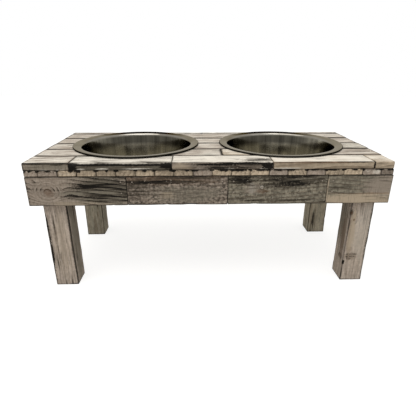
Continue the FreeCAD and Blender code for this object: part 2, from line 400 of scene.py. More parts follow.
def smooth_noise(seed, u, v):
    """Smooth noise from 0 to 1 on a lattice of step 1, for arrays of two coordinates."""
    table = np.random.default_rng(seed).random((NOISE_TILE, NOISE_TILE))
    u, v = np.broadcast_arrays(np.asarray(u, float), np.asarray(v, float))
    column, row = np.floor(u).astype(int), np.floor(v).astype(int)
    s, t = u - column, v - row
    s, t = s * s * (3 - 2 * s), t * t * (3 - 2 * t)
    left, right = column % NOISE_TILE, (column + 1) % NOISE_TILE
    front, back = row % NOISE_TILE, (row + 1) % NOISE_TILE
    near = table[left, front] * (1 - s) + table[right, front] * s
    far = table[left, back] * (1 - s) + table[right, back] * s
    return near * (1 - t) + far * t


def edge_radii(places, grain, wear, seed):
    """The radius in mm of a board's four long edges at each place along it, with chips and waney runs."""
    rng = np.random.default_rng(seed)
    names = CORNERS[grain]
    start, end = places[0], places[-1]
    radii = np.empty((len(names), len(places)))
    for corner, name in enumerate(names):
        usual = wear.get(name, wear["round"])
        radii[corner] = usual * (0.5 + smooth_noise(seed + corner, places / EDGE_SWELL, 0))
        for _ in range(int((end - start) * wear["chips"] / 100)):
            middle, half = rng.uniform(start, end), rng.uniform(*CHIP_HALF)
            bite = np.clip(1 - ((places - middle) / half) ** 2, 0, None)
            radii[corner] += rng.uniform(*CHIP_DEPTH) * bite
    for name, low, high, radius in wear["wane"]:
        ramp = np.clip(np.minimum(places - low, high - places) / WANE_FADE + 0.5, 0, 1)
        rough = 0.8 + 0.4 * smooth_noise(seed + 9, places / WANE_SWELL, 0)
        corner = names.index(name)
        radii[corner] = np.maximum(radii[corner], radius * rough * ramp)
    return radii


def section_rings(b_range, c_range, radii, step):
    """Points round a rounded section at each place along a board, and the angle that each point faces."""
    (b_low, b_high), (c_low, c_high) = b_range, c_range
    corners = ((b_high, c_high, 1, 1), (b_low, c_high, -1, 1), (b_low, c_low, -1, -1), (b_high, c_low, 1, -1))
    middles = [(b - sb * radii[k], c - sc * radii[k]) for k, (b, c, sb, sc) in enumerate(corners)]
    spans = [np.ptp([b_low.min(), b_high.max()]), np.ptp([c_low.min(), c_high.max()])]
    across, up, facing = [], [], []
    for k, (mid_b, mid_c) in enumerate(middles):
        for arc in range(ARC_STEPS + 1):
            angle = math.pi / 2 * (k + arc / ARC_STEPS)
            across.append(mid_b + radii[k] * math.cos(angle))
            up.append(mid_c + radii[k] * math.sin(angle))
            facing.append(angle)
        after = (k + 1) % 4
        end_b = middles[after][0] + radii[after] * math.cos(angle)
        end_c = middles[after][1] + radii[after] * math.sin(angle)
        start_b, start_c = across[-1], up[-1]
        count = max(round(spans[k % 2] / step), 2)
        for share in np.arange(1, count) / count:
            across.append(start_b + (end_b - start_b) * share)
            up.append(start_c + (end_c - start_c) * share)
            facing.append(angle)
    return np.array(across).T, np.array(up).T, np.array(facing)


def worn_board(low, high, grain, wear, seed):
    """Points and faces of a worn board between two corners in mm. Wear only takes wood away."""
    a, b, c = grain, (grain + 1) % 3, (grain + 2) % 3
    ease, step = wear["end_round"], wear["step"]
    rim = ease * np.array(END_ROUND_RINGS)
    runs = max(round((high[a] - low[a] - 2 * ease) / (step * wear["stretch"])), 3)
    inner = np.linspace(low[a] + ease, high[a] - ease, runs + 1)
    places = np.concatenate([low[a] + rim, inner, high[a] - rim[::-1]])
    nearest = np.minimum(np.minimum(places - low[a], high[a] - places), ease)
    inset = ease - np.sqrt(np.maximum(ease**2 - (ease - nearest) ** 2, 0))
    thinner = min(high[b] - low[b], high[c] - low[c])
    radii = np.clip(edge_radii(places, grain, wear, seed), LEAST_ROUND, MOST_ROUND * thinner)
    across, up, facing = section_rings(
        (low[b] + inset, high[b] - inset), (low[c] + inset, high[c] - inset), radii, step
    )
    middle = len(places) // 2
    b_steps, c_steps = [np.diff(side[middle], append=side[middle][:1]) for side in (across, up)]
    round_it = np.cumsum(np.hypot(b_steps, c_steps))[None, :]
    along = places[:, None]
    depth = np.zeros_like(across)
    for layer, (kind, length, width) in enumerate(RELIEF):
        depth += wear[kind] * smooth_noise(seed + 21 + layer, along / length, round_it / width)

    points = np.empty((*across.shape, 3))
    points[..., a] = along
    points[..., b] = across - depth * np.cos(facing)
    points[..., c] = up - depth * np.sin(facing)
    last, count = len(points) - 1, points.shape[1]
    order = np.arange(count)
    after = np.roll(order, -1)
    faces = []
    for one in range(0, last * count, count):
        two = one + count
        faces += np.stack([one + order, one + after, two + after, two + order], 1).tolist()
    total = len(points) * count
    coordinates = [points.reshape(-1, 3)]
    for end, inward in ((0, 1), (last, -1)):
        outer = end * count + order
        centre = points[end].mean(0)
        for share in END_GRAIN_RINGS:
            ring = centre + (points[end] - centre) * share
            u, v = [ring[:, axis] / END_GRAIN + END_GRAIN_START for axis in (b, c)]
            ring[:, a] += inward * wear["end_relief"] * smooth_noise(seed + 31 + end, u, v)
            now = total + order
            quad = [outer, now, np.roll(now, -1), np.roll(outer, -1)]
            faces += np.stack(quad[::inward], 1).tolist()
            coordinates.append(ring)
            outer, total = now, total + count
        coordinates.append(ring.mean(0)[None, :])
        fan = [outer, np.full(count, total), np.roll(outer, -1)]
        faces += np.stack(fan[::inward], 1).tolist()
        total += 1
    return np.concatenate(coordinates), faces


def bowl_places():
    """Each bowl's middle in the plan, its rim's radius, and its lowest and highest level, in metres."""
    found = {}
    for name in ("left_bowl", "right_bowl"):
        low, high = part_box(name)
        found[name] = ((low.x + high.x) / 2, (low.y + high.y) / 2, (high.x - low.x) / 2, low.z, high.z)
    return found


def hole_cutter(bowl):
    """A mesh object that cuts both bowls' holes. It is removed once the boards are cut."""
    points, faces, segments = [], [], bowl.segments
    for x, y, rim, low, high in bowl_places().values():
        radius, first = rim - bowl.hole_inside_rim, len(points)
        for z in (low, high + rim / 4):
            for turn in np.arange(segments) * 2 * math.pi / segments:
                points.append((x + radius * math.cos(turn), y + radius * math.sin(turn), z))
        for i in range(segments):
            j = (i + 1) % segments
            faces.append((first + i, first + j, first + segments + j, first + segments + i))
        faces.append([first + i for i in reversed(range(segments))])
        faces.append([first + segments + i for i in range(segments)])
    return new_object("bowl_hole_cutter", points, faces)


def cut_holes(board, bowl):
    """Cuts the bowls' holes out of a board, with the result kept as its mesh."""
    cutter = hole_cutter(bowl)
    cut = board.modifiers.new("bowl holes", "BOOLEAN")
    cut.object, cut.operation, cut.solver = cutter, "DIFFERENCE", "EXACT"
    cut_board = board.evaluated_get(bpy.context.evaluated_depsgraph_get())
    mesh, whole = bpy.data.meshes.new_from_object(cut_board), board.data
    board.modifiers.clear()
    board.data = mesh
    mesh.name = board.name
    bpy.data.meshes.remove(whole)
    cutter_mesh = cutter.data
    bpy.data.objects.remove(cutter)
    bpy.data.meshes.remove(cutter_mesh)


def hole_reach(low, high, bowl):
    """Whether a hole reaches a board, and the board's ends moved out where the hole made them. In mm."""
    low, high, reached = list(low), list(high), False
    for x, y, rim, _, _ in bowl_places().values():
        x, y, radius = x / MM, y / MM, (rim - bowl.hole_inside_rim) / MM
        near_x, near_y = min(max(x, low[0]), high[0]), min(max(y, low[1]), high[1])
        if math.hypot(near_x - x, near_y - y) > radius - HOLE_TOUCH:
            continue
        reached = True
        for edge, way in ((low, -1), (high, 1)):
            corners = [math.hypot(edge[0] - x, corner_y - y) for corner_y in (low[1], high[1])]
            if min(abs(corner - radius) for corner in corners) < HOLE_CORNER:
                edge[0] += way * HOLE_OVERRUN
    return low, high, reached


def mark_edges(mesh, low, high, grain, wear):
    """Stores how near each point lies to a board's edge, from 0 to 1, for the material's dirt and wear."""
    points = np.empty(len(mesh.vertices) * 3, np.float32)
    mesh.vertices.foreach_get("co", points)
    points = points.reshape(-1, 3) / MM
    gaps = np.minimum(np.abs(points - np.array(low)), np.abs(points - np.array(high)))
    gaps[:, grain] *= wear["clean_ends"]
    second = np.sort(gaps, 1)[:, 1]
    edge = mesh.attributes.new("arris", "FLOAT", "POINT")
    edge.data.foreach_set("value", np.exp(-second / wear["dirt_reach"]).astype(np.float32))


def make_board(name, node, span, grain, slot, wear, look, scene):
    """Builds one worn board in place of a CAD node, or of one slat of it, and dresses it."""
    wood, bowl = scene.feeder_wood, scene.feeder_bowl
    low, high = [np.array(corner) / MM for corner in span]
    usual = {"round": wood.edge_round / MM, "relief": wood.relief / MM, "step": wood.mesh_step / MM}
    wear = {**PLAIN_WEAR, **usual, **wear}
    solid_low, solid_high, cut = hole_reach(low, high, bowl)
    solid_high[2] -= wear["sunk"]
    solid_high[0] -= wear["trim"]
    points, faces = worn_board(solid_low, solid_high, grain, wear, seed_of(name))
    board = new_object(name, points * MM, faces)
    if cut and slot in ("top_wood", "cross_wood"):
        cut_holes(board, bowl)
    mark_edges(board.data, low, high, grain, wear)
    dress(board, BOARD_CREASE, weathered_pine(name, grain, (low + high) / 2, look, wood))
    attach(board, "stand")
    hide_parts(node)


# Reclaimed pine, sawn, whitewashed by hand and then worn and weathered. To the eye that is soft grey wood
# with long streaks and arched rings, white paint left thin on the upper faces, and dark dirt in the grain
# and edges. The white on faces that look up is partly real whitewash and partly painted light from above.
# Each pattern's size in mm along the grain and across it, and its levels of detail. Real fibres
# are about 0.3 mm wide and rings 2 to 4 mm; both are drawn coarser here so that they show.
PATTERNS = {
    "bend": (150, 30, 1),
    "fibre": (42, 1.6, 3),
    "streak": (95, 5.5, 3),
    "blotch": (40, 20, 3),
    "saw": (1.9, 15, 2),
    "grit": (3.2, 2.2, 2),
    "speck": (5.0, 3.6, 1),
}
# Each board is cut from another place of the patterns, up to this far off in mm
CUT_FROM = 900
# The rings' spacing in mm, how far they sway from side to side and how far streaks push them
RING_SPACING = 6.5
RING_SWAY = 26.0
RING_WAVER = 5.0
# The tree's heart: how deep under the board and how far beside its middle it lies in mm, and how it slants
HEART_DEPTH = (12, 45)
HEART_SIDE = (-14, 14)
HEART_SLANT = (0.05, 0.16)
# Distances along the grain count this much in a knot, so it is longer that way, and its rings in one radius
KNOT_STRETCH = 0.8
KNOT_RINGS = 2.4
# A knot's hill in the rings, its own rings and its core: where each begins and is full, in shares of the
# knot's radius, and how much it then is
KNOT_PARTS = ((2.6, 0.8, 10.0), (1.7, 1.4, 1.0), (0.75, 0.25, 1.0))
# The look of a plain board, which each board's own look adds to: the wood's colour and how light it is,
# then how much it has of each kind of grain, mark and wear
PLAIN_LOOK = {
    "tone": "taupe", "light": 1.0, "grainy": 1.0, "speckle": 0.12, "late": 0.3, "ringed": 0.3, "streaky": 1.0,
    "char": 0.1, "saw": 0.15, "wash": 0.0, "side_wash": 0.0, "flecks": 0.1, "grime": 0.0, "dirt": 0.75,
    "knots": (), "knot_tint": 0.8, "marks": (),
}


def weathered_pine(board, grain, centre, look, wood):
    """The material of one board. look gives its tone and wear, and its marks in mm in the CAD's frame."""
    material, tree = new_material(f"whitewashed reclaimed pine, sawn and worn, {board}")
    look = {**PLAIN_LOOK, **look}
    rng = np.random.default_rng(seed_of(board))
    place = add(tree, "ShaderNodeTexCoord")
    spot = add(tree, VECTOR, {0: place.outputs["Object"], "Scale": 1 / MM}, operation="SCALE")
    cut_from = add(tree, VECTOR, {0: spot, 1: rng.uniform(-CUT_FROM, CUT_FROM, 3)}, operation="ADD")
    noise = {}
    for name, (along, across, detail) in PATTERNS.items():
        size = [1 / across] * 3
        size[grain] = 1 / along
        scaled = add(tree, VECTOR, {0: cut_from, 1: size}, operation="MULTIPLY")
        noise[name] = add(tree, NOISE, {"Vector": scaled, "Scale": 1.0, "Detail": detail, "Roughness": 0.6})

    # Growth rings: the distance from the heart of the tree, which runs at a slant under the board, with
    # hills round the knots, which have rings of their own
    local = add(tree, VECTOR, {0: spot, 1: centre}, operation="SUBTRACT")
    axes = add(tree, "ShaderNodeSeparateXYZ", {0: local})
    run, side, deep = [axes.outputs[(grain + i) % 3] for i in range(3)]
    heart_depth, heart_side = rng.uniform(*HEART_DEPTH), rng.uniform(*HEART_SIDE)
    slant = look.get("slant", rng.uniform(*HEART_SLANT) * rng.choice((-1, 1)))
    slanted = add(tree, MATH, {0: run, 1: slant, 2: deep}, operation="MULTIPLY_ADD")
    below = add(tree, MATH, {0: slanted, 1: heart_depth}, operation="ADD")
    swayed = add(tree, MATH, {0: noise["bend"], 1: RING_SWAY, 2: side}, operation="MULTIPLY_ADD")
    beside = add(tree, MATH, {0: swayed, 1: heart_side - RING_SWAY / 2}, operation="ADD")
    offset = add(tree, "ShaderNodeCombineXYZ", {0: below, 1: beside})
    rings = add(tree, VECTOR, {0: offset}, operation="LENGTH").outputs["Value"]
    rings = add(tree, MATH, {0: noise["streak"], 1: RING_WAVER, 2: rings}, operation="MULTIPLY_ADD")
    knots = 0.0
    for knot, radius in look["knots"]:
        size = [1 / radius] * 3
        size[grain] = KNOT_STRETCH / radius
        start = [-k * s for k, s in zip(knot, size)]
        reach = add(tree, VECTOR, {0: spot, 1: size, 2: start}, operation="MULTIPLY_ADD")
        reach = add(tree, VECTOR, {0: reach}, operation="LENGTH").outputs["Value"]
        hill, inside, core = [
            add(tree, RANGE, {"Value": reach, 1: begins, 2: full, 4: most}, **SMOOTH)
            for begins, full, most in KNOT_PARTS
        ]
        rings = add(tree, MATH, {0: rings, 1: hill}, operation="ADD")
        own = add(tree, MATH, {0: reach, 1: KNOT_RINGS * RING_SPACING}, operation="MULTIPLY")
        rings = add(tree, MIX, {"Factor": inside, "A": rings, "B": own}, data_type="FLOAT")
        knots = add(tree, MATH, {0: knots, 1: core}, operation="MAXIMUM")
    turn = add(tree, MATH, {0: rings, 1: RING_SPACING}, operation="DIVIDE")
    turn = add(tree, MATH, {0: turn}, operation="FRACT")
    late = add(tree, MATH, {0: turn, 1: 2.2}, operation="POWER")

    # Old dark grain follows the rings, and dirt gathers at the edges. Whitewash lies heavier on faces that
    # look up and wears off at the edges; on faces that look up it is partly real whitewash, partly painted
    # light from above.
    streaky = look["streaky"]
    level = look["char"] - 0.15 - 1.2 * streaky
    ringed = add(tree, MATH, {0: late, 1: look["ringed"], 2: level}, operation="MULTIPLY_ADD")
    facing = add(tree, "ShaderNodeNewGeometry").outputs["Normal"]
    upward = add(tree, "ShaderNodeSeparateXYZ", {0: facing}).outputs["Z"]
    # Painted light, in part: faces that look up get more wash, so the top reads lighter as if lit from above
    wash_and_top_light_range = {"Value": upward, 1: 0.3, 2: 0.85, 3: look["side_wash"], 4: look["wash"]}
    wash_and_top_light = add(tree, RANGE, wash_and_top_light_range)
    arris = add(tree, "ShaderNodeAttribute", attribute_name="arris").outputs["Fac"]
    painted = add(tree, MATH, {0: arris, 1: -0.5, 2: wash_and_top_light}, operation="MULTIPLY_ADD")
    grimy = add(tree, MATH, {0: arris, 1: look["grime"]}, operation="ADD")
    # What each kind of wear starts from, and how much of the patterns is added to it
    wear = {
        "tone": (0.0, {"fibre": 1.0, "streak": 1.1, "blotch": 0.7}),
        "dark": (ringed, {"streak": 1.5 * streaky, "fibre": 0.9 * streaky}),
        "mark_edge": (-2.5, {"blotch": 0.8, "streak": 2.0, "fibre": 1.2, "grit": 1.0}),
        "paint": (painted, {"blotch": 0.9, "streak": 0.9, "fibre": 0.7}),
        "dirt": (grimy, {"blotch": 0.9}),
    }
    for kind, (total, shares) in wear.items():
        for pattern, share in shares.items():
            total = add(tree, MATH, {0: noise[pattern], 1: share, 2: total}, operation="MULTIPLY_ADD")
        wear[kind] = total

    # The wood's own colour: browner in the late wood of each ring, and lighter and darker along the streaks
    early = Vector(getattr(wood, look["tone"]))
    browner = early.lerp(Vector(wood.brown), look["late"])
    colour = add(tree, MIX, {"Factor": late, "A": rgba(early), "B": rgba(browner)}, data_type="RGBA")
    spread, light, speckle = 0.5 / look["grainy"], look["light"], look["speckle"]
    tones = {"Value": wear["tone"], 1: 1.4 - spread, 2: 1.4 + spread, 3: 0.62 * light, 4: 1.3 * light}
    tone = add(tree, RANGE, tones)
    specks = add(tree, RANGE, {"Value": noise["speck"], 1: 0.3, 2: 0.7, 3: 1 - speckle, 4: 1 + speckle})
    tone = add(tree, MATH, {0: tone, 1: specks}, operation="MULTIPLY")
    colour = add(tree, VECTOR, {0: colour, "Scale": tone}, operation="SCALE")

    # Layers over it, from the lowest up: how much of each shows, and its colour. Charcoal marks gather the
    # dark grain instead of lying over it.
    layers = []
    dark = wear["dark"]
    for kind, middle, half, strength in look["marks"]:
        size = [0.0 if h is None else 1 / h for h in half]
        start = [-m * s for m, s in zip(middle, size)]
        reach = add(tree, VECTOR, {0: spot, 1: size, 2: start}, operation="MULTIPLY_ADD")
        reach = add(tree, VECTOR, {0: reach}, operation="LENGTH").outputs["Value"]
        reach = add(tree, MATH, {0: reach, 1: wear["mark_edge"]}, operation="ADD")
        mark = add(tree, RANGE, {"Value": reach, 1: 1.25, 2: 0.55, 4: strength}, **SMOOTH)
        if kind == "charcoal":
            dark = add(tree, MATH, {0: dark, 1: mark}, operation="ADD")
        else:
            layers.append((mark, kind))
    saw = add(tree, RANGE, {"Value": noise["saw"], 1: 0.5, 2: 0.66, 4: look["saw"]})
    saw = add(tree, MATH, {0: saw, 1: noise["blotch"]}, operation="MULTIPLY")
    paint = add(tree, RANGE, {"Value": wear["paint"], 1: 1.45, 2: 2.05, 4: 0.93}, **SMOOTH)
    soft = add(tree, RANGE, {"Value": dark, 1: 0.05, 2: 0.62, 4: 0.8}, **SMOOTH)
    black = add(tree, RANGE, {"Value": dark, 1: 0.42, 2: 0.9, 4: 0.95}, **SMOOTH)
    layers += [(saw, "charcoal"), (paint, "wash"), (soft, "stain"), (black, "charcoal")]
    if look["knots"]:
        tinted = add(tree, MATH, {0: knots, 1: look["knot_tint"]}, operation="MULTIPLY")
        layers.append((tinted, "brown"))
    flecks = add(tree, RANGE, {"Value": noise["grit"], 1: 0.66, 2: 0.74, 4: look["flecks"]})
    dirt = add(tree, RANGE, {"Value": wear["dirt"], 1: 0.75, 2: 1.15, 4: look["dirt"]}, **SMOOTH)
    layers += [(flecks, "wash"), (dirt, "charcoal")]
    for share, over in layers:
        mixed = {"Factor": share, "A": colour, "B": rgba(getattr(wood, over))}
        colour = add(tree, MIX, mixed, data_type="RGBA")

    height = add(tree, MATH, {0: late, 1: 0.35, 2: noise["fibre"]}, operation="MULTIPLY_ADD")
    height = add(tree, MATH, {0: saw, 1: -0.8, 2: height}, operation="MULTIPLY_ADD")
    bump = add(tree, "ShaderNodeBump", {"Strength": 0.5, "Distance": 0.5 * MM, "Height": height})
    rough = add(tree, RANGE, {"Value": noise["streak"], 1: 0.3, 2: 0.7, 3: 0.72, 4: 0.93})
    surface = {"Base Color": colour, "Roughness": rough, "Specular IOR Level": 0.12, "Normal": bump}
    shader = add(tree, "ShaderNodeBsdfPrincipled", surface)
    add(tree, "ShaderNodeOutputMaterial", {"Surface": shader})
    return material


# Stainless steel, pressed, spun and polished. To the eye that is a dark mirror with faint rings left by the
# polishing wheel, a darker, streaked wall and a nearly black hem. The darkness, the streaks and the hem's
# black are painted reflection and painted shade, standing for the dark room that the steel mirrors. Sizes of
# its patterns in mm. Polishing rings are finer than a tenth of a millimetre, and are drawn coarser so that
# they show.
POLISHING_RINGS = 1.2
SMEARS = 28
# Painted reflection streaks down the wall, as a scale round a circle of radius 1
WALL_STREAKS = 6.0
# Colours of painted light on the bowl: the painted dark back of the flat, the painted lip highlight, the
# painted shade of the hem, and the tints of bright and dark reflections at grazing angles
STEEL_TONES = {
    "tarnish": "#35322b",
    "lip": "#cfccc4",
    "hem": "#1b1a17",
    "bright edge": "#c2bcb0",
    "dull edge": "#69645a",
}


def polished_steel(name, middle, rim, top, bowl):
    """The material of one bowl, from its middle in the plan, its rim's radius and its rim's level."""
    material, tree = new_material(f"stainless steel, spun and polished, {name}")
    tones = {part: rgba(linear(tone)) for part, tone in STEEL_TONES.items()}
    place = add(tree, "ShaderNodeTexCoord")
    local = add(tree, VECTOR, {0: place.outputs["Object"], 1: (*middle, 0.0)}, operation="SUBTRACT")
    axes = add(tree, "ShaderNodeSeparateXYZ", {0: local})
    height = axes.outputs["Z"]
    flat = add(tree, "ShaderNodeCombineXYZ", {0: axes.outputs["X"], 1: axes.outputs["Y"]})
    radius = add(tree, VECTOR, {0: flat}, operation="LENGTH").outputs["Value"]
    round_it = add(tree, VECTOR, {0: flat}, operation="NORMALIZE")
    backward = add(tree, "ShaderNodeSeparateXYZ", {0: round_it}).outputs["Y"]
    across = add(tree, "ShaderNodeCombineXYZ", {0: radius, 1: height})
    rings = add(tree, NOISE, {"Vector": across, "Scale": 1 / (POLISHING_RINGS * MM), "Detail": 3.0})
    smears = add(tree, NOISE, {"Vector": local, "Scale": 1 / (SMEARS * MM), "Detail": 3.0})
    reflection_streak_noise = {"Vector": round_it, "Scale": WALL_STREAKS, "Detail": 4.0, "Roughness": 0.6}
    streaks = add(tree, NOISE, reflection_streak_noise)
    mixed = add(tree, MATH, {0: rings, 1: 0.5, 2: smears}, operation="MULTIPLY_ADD")
    rough = add(tree, RANGE, {"Value": mixed, 1: 0.5, 2: 1.0, 3: 0.06, 4: 0.2})
    shade = add(tree, RANGE, {"Value": smears, 1: 0.3, 2: 0.7, 3: 0.85, 4: 1.22})
    colour = add(tree, VECTOR, {0: bowl.steel, "Scale": shade}, operation="SCALE")
    ragged = add(tree, MATH, {0: smears, 1: 6 * MM, 2: height}, operation="MULTIPLY_ADD")
    patchy = add(tree, MATH, {0: smears, 1: 0.5, 2: backward}, operation="MULTIPLY_ADD")

    # Parts of the bowl, each where its bands meet. The rows give what a band is measured on, where it
    # begins, where it is full, and how much it then is. The flat is darkened along the back: a painted dark
    # reflection. The round of the lip is lighter in broken patches, most at the back: a painted highlight. A
    # ring inside the hem takes the dark wall colour: painted shade. The hem is folded under; it is painted
    # nearly black for the shade and dark reflection under the rim, and made rougher.
    parts = {
        "tarnish": [(backward, 0.6, 0.93, 0.8), (radius, rim - 15.5 * MM, rim - 13.0 * MM, 1.0)],
        "wall": [(radius, 0.62 * rim, 0.76 * rim, 1.0)],
        "inside": [(height, top - 3.0 * MM, top - 7.0 * MM, 1.0)],
        "lip": [
            (ragged, top + 2.4 * MM, top + 1.6 * MM, 1.0),
            (ragged, top - 1.8 * MM, top - 0.4 * MM, 1.0),
            (patchy, 1.2, 1.34, 0.3),
        ],
        "crease": [
            (radius, rim - 5.2 * MM, rim - 4.2 * MM, 1.0),
            (radius, rim - 2.8 * MM, rim - 3.6 * MM, 0.3),
        ],
        "hem": [
            (radius, rim - 1.8 * MM, rim - 0.9 * MM, 1.0),
            (height, top - 0.03 * MM, top - 0.25 * MM, 0.97),
        ],
    }
    for part, bands in parts.items():
        share = None
        for value, begins, full, most in bands:
            band = add(tree, RANGE, {"Value": value, 1: begins, 2: full, 4: most})
            if share is not None:
                band = add(tree, MATH, {0: share, 1: band}, operation="MULTIPLY")
            share = band
        parts[part] = share

    # Painted reflection and shade: the wall and floor take the darker inside colour, for the dark room that
    # they mirror, with painted reflection streaks down the wall. The colour is darker high up and brighter
    # towards the floor, and high up the wall's two sides carry painted highlights.
    streaks = add(tree, RANGE, {"Value": streaks, 1: 0.4, 2: 0.6, 3: 0.65, 4: 1.35})
    streaks = add(tree, MIX, {"Factor": parts["wall"], "A": 1.0, "B": streaks}, data_type="FLOAT")
    sideways = add(tree, MATH, {0: backward}, operation="ABSOLUTE")
    painted_side_highlight = add(tree, RANGE, {"Value": sideways, 1: 0.8, 2: 0.4, 3: 0.75, 4: 2.5})
    depths = {"Value": height, 1: top - 18 * MM, 2: top - 31 * MM, 3: painted_side_highlight, 4: 3.6}
    fall = add(tree, RANGE, depths, **SMOOTH)
    streaks = add(tree, MATH, {0: streaks, 1: fall}, operation="MULTIPLY")
    drawn = add(tree, VECTOR, {0: bowl.inside, "Scale": streaks}, operation="SCALE")

    for part in ("tarnish", "inside", "lip", "crease", "hem"):
        over = {"Factor": parts[part], "A": colour, "B": tones.get(part, drawn)}
        colour = add(tree, MIX, over, data_type="RGBA")
    rough = add(tree, MIX, {"Factor": parts["hem"], "A": rough, "B": 0.5}, data_type="FLOAT")
    # The edge tint is darkened where the inside, the hem and the dark back lie: painted dark reflection at
    # grazing angles
    dull = add(tree, MATH, {0: parts["inside"], 1: parts["hem"]}, operation="MAXIMUM")
    dull = add(tree, MATH, {0: dull, 1: parts["tarnish"]}, operation="MAXIMUM")
    tints = {"Factor": dull, "A": tones["bright edge"], "B": tones["dull edge"]}
    tint = add(tree, MIX, tints, data_type="RGBA")
    bump = add(tree, "ShaderNodeBump", {"Strength": 0.05, "Distance": 0.1 * MM, "Height": rings})
    surface = {"Base Color": colour, "Metallic": 1.0, "Roughness": rough, "Specular Tint": tint}
    surface["Normal"] = bump
    shader = add(tree, "ShaderNodeBsdfPrincipled", surface)
    add(tree, "ShaderNodeOutputMaterial", {"Surface": shader})
    return material


# Steel brad and screw heads, set flush and brushed over with the wash. To the eye they are dull, with bare
# metal in spots. The size of the spots in mm, and the colour of the bare metal.
BARE_SPOTS = 1.5
BARE_STEEL = "#6b6862"


def painted_steel(name, colour):
    """The material of one kind of fastener, in the colour that it was brushed over with."""
    material, tree = new_material(f"steel fastener head, painted over, {name}")
    place = add(tree, "ShaderNodeTexCoord").outputs["Object"]
    grit = add(tree, NOISE, {"Vector": place, "Scale": 1 / (BARE_SPOTS * MM), "Detail": 3.0})
    bare = add(tree, RANGE, {"Value": grit, 1: 0.55, 2: 0.7, 4: 0.7})
    tones = {"Factor": bare, "A": rgba(colour), "B": rgba(linear(BARE_STEEL))}
    dull = add(tree, MIX, tones, data_type="RGBA")
    rough = add(tree, RANGE, {"Value": grit, 1: 0.3, 2: 0.7, 3: 0.75, 4: 0.45})
    surface = {"Base Color": dull, "Metallic": bare, "Roughness": rough}
    shader = add(tree, "ShaderNodeBsdfPrincipled", surface)
    add(tree, "ShaderNodeOutputMaterial", {"Surface": shader})
    return material


# What differs on single boards. A mark is a kind, its middle and its half sizes in mm along X, Y and Z, and
# how strong it is. A knot is its middle and its radius in mm.
TOP_SLATS = {
    "1a": {
        "wear": {"sunk": 0.2, "front_top": 1.8, "front_bottom": 1.0, "end_round": 0.7},
        "look": {"tone": "taupe", "wash": 0.55, "light": 0.94, "saw": 0.6},
        "marks": [
            ("charcoal", (-262, FRONT, 231.8), (60, 5, 2.6), 0.8),
            ("grey", (-265, FRONT, 226), (50, 4, 5), 0.6),
            ("wash", (-241, FRONT, 221), (7, 3, 1.3), 0.8),
            ("wash", (-268, FRONT, 221), (6, 3, 1.3), 0.8),
        ],
    },
    "1b": {
        "wear": {"sunk": 0.7, "front_bottom": 1.6, "wane": [("front_top", -226, -64, 5.6)]},
        "look": {"tone": "grey", "wash": 0.76, "light": 0.66, "char": 0.27},
        "marks": [
            ("charcoal", (-142, -132, 232.4), (120, 5.0, 2.4), 0.28),
            ("charcoal", (-142, -136, 228.6), (125, 4.0, 1.9), 1.25),
            ("charcoal", (-224, FRONT, 226), (11, 5, 7), 1.0),
            ("charcoal", (-70, FRONT, 226.5), (15, 5, 6.5), 1.1),
            ("wash", (-114, FRONT, 222.3), (26, 3, 1.3), 1.0),
            ("wash", (-212, FRONT, 222.3), (9, 3, 1.3), 0.9),
            ("wash", (-196, FRONT, 231.5), (22, 3, 0.9), 0.5),
            ("wash", (-176, FRONT, 222.3), (9, 3, 1.3), 0.9),
        ],
    },
    "1c": {
        "wear": {"front_top": 1.0, "front_bottom": 1.6, "wane": [("front_top", 30, 104, 3.4)]},
        "look": {"tone": "taupe", "wash": 0.76, "light": 0.78, "char": 0.2, "flecks": 0.5},
        "marks": [
            ("charcoal", (34, FRONT, 226), (60, 5, 5), 0.28),
            ("charcoal", (60, FRONT, 230.4), (48, 5, 1.8), 1.15),
            ("charcoal", (91, FRONT, 227.5), (12, 5, 5), 1.1),
            ("charcoal", (56, FRONT, 226), (30, 5, 5), 0.12),
            ("wash", (27, FRONT, 222.3), (11, 3, 1.3), 1.0),
            ("wash", (86, FRONT, 222.0), (9, 3, 1.2), 0.9),
            ("charcoal", (78, -121, 233), (34, 12, 3), 0.45),
            ("charcoal", (-2, FRONT, 229), (40, 4, 2.0), 0.8),
            ("tan", (-48, FRONT, 225), (16, 4, 6), 0.7),
            ("charcoal", (10, FRONT, 223), (22, 3, 3), 0.4),
        ],
    },
    "1d": {
        "wear": {"sunk": 0.3, "front_top": 1.3, "front_bottom": 1.4},
        "look": {"tone": "tan", "wash": 0.7, "late": 0.5, "light": 0.95},
        "marks": [
            ("brown", (185, FRONT, 231.6), (80, 4, 1.6), 0.75),
            ("wash", (121, FRONT, 222.2), (22, 3, 1.2), 0.9),
            ("charcoal", (250, FRONT, 231.8), (18, 3, 1.4), 0.4),
            ("charcoal", (265, -133, 228), (1.9, 9, 9), 0.8),
        ],
    },
    "1e": {
        "wear": {"sunk": 0.4, "trim": 2.0},
        "look": {"tone": "tan", "wash": 0.6},
        "marks": [
            ("charcoal", (265, -133, 228), (1.9, 9, 9), 0.8),
        ],
    },
    "2a": {"look": {"wash": 0.5}},
    "2b": {
        "look": {"wash": 0.52},
        "marks": [
            ("brown", (-20, -82, 233), (16, 4, 4), 0.7),
            ("charcoal", (12, -52, 233), (12, 10, 4), 0.35),
        ],
    },
    "2c": {"look": {"tone": "tan", "wash": 0.6}},
    "2d": {
        "look": {"light": 1.05, "wash": 0.44},
        "marks": [
            ("charcoal", (262, -62, 233), (26, 4, 4), 0.4),
        ],
    },
    "3a": {"look": {"wash": 0.48}},
    "3b": {"look": {"wash": 0.52}},
    "3c": {"look": {"tone": "grey", "light": 1.25, "wash": 0.5}},
    "4b": {"look": {"wash": 0.52}},
    "4c": {"look": {"light": 1.05, "wash": 0.46}},
    "5c": {"look": {"wash": 0.52}},
    "6b": {"look": {"wash": 0.85}},
    "6c": {"look": {"wash": 0.85}},
}
